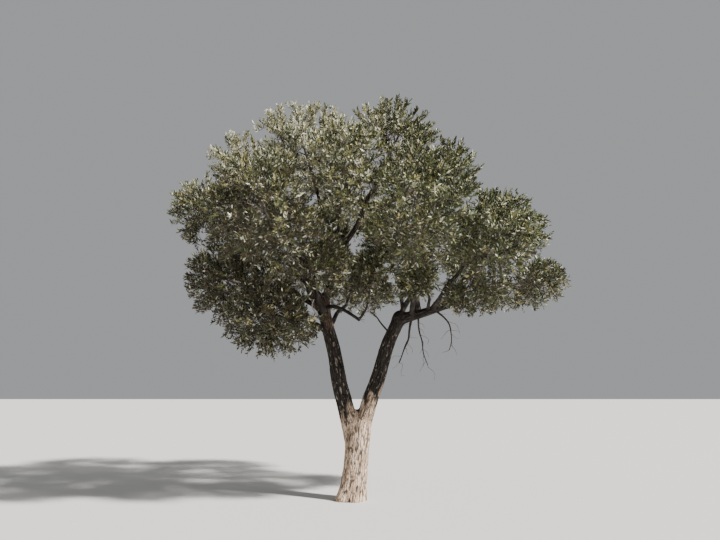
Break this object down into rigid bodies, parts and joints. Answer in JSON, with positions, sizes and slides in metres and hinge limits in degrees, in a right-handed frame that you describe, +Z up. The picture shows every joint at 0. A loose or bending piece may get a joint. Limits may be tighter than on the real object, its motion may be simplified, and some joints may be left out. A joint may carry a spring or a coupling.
{
  "type": "olive tree",
  "caption": "Spreading evergreen olive tree with a short pale trunk that forks low into two limbs, open boughs and a wide, rounded crown of small grey-green leaves.",
  "frame": {"origin": "middle of the trunk's flat cut at ground level", "axes": "+Z up along the trunk, +X to the right and +Y away from the picture's viewpoint"},
  "size_m": [5.7608, 4.5525, 5.7776],
  "materials": {
    "bark": "rough, fissured grey-tan bark",
    "young_bark": "finely ridged dark grey-brown bark",
    "foliage": "leathery leaves, dull green above and silvery below"
  },
  "bodies": {
    "root": {"back_bough": "young_bark", "back_crown_bough": "young_bark", "back_left_bough": "young_bark", "back_right_bough": "young_bark", "bare_shoot": "young_bark", "centre_rise": "young_bark", "cut_stub": "young_bark", "dead_shoot": "young_bark", "dipping_branch": "young_bark", "dipping_rise": "young_bark", "foliage_back_crown": "foliage", "foliage_back_left": "foliage", "foliage_back_right": "foliage", "foliage_back_skirt": "foliage", "foliage_far_right": "foliage", "foliage_front_centre": "foliage", "foliage_front_left": "foliage", "foliage_front_right": "foliage", "foliage_heart_left": "foliage", "foliage_heart_right": "foliage", "foliage_left_crown": "foliage", "foliage_left_low": "foliage", "foliage_left_skirt": "foliage", "foliage_left_tip": "foliage", "foliage_low_centre": "foliage", "foliage_low_left": "foliage", "foliage_low_right": "foliage", "foliage_mid_crown": "foliage", "foliage_near_right": "foliage", "foliage_right_crown": "foliage", "foliage_right_low": "foliage", "foliage_right_skirt": "foliage", "foliage_top_crown": "foliage", "front_centre_bough": "young_bark", "front_left_bough": "young_bark", "front_right_bough": "young_bark", "hanging_left": "young_bark", "hanging_middle": "young_bark", "hanging_right": "young_bark", "heart_left_bough": "young_bark", "heart_right_bough": "young_bark", "left_arch": "young_bark", "left_limb": "bark", "left_low_bough": "young_bark", "left_rise": "young_bark", "left_tip_bough": "young_bark", "low_left_bough": "young_bark", "low_right_bough": "young_bark", "mid_crown_bough": "young_bark", "near_right_bough": "young_bark", "right_diagonal": "young_bark", "right_level": "young_bark", "right_limb": "bark", "right_low_bough": "young_bark", "right_rise": "young_bark", "trunk": "bark"}
  },
  "joints": []
}
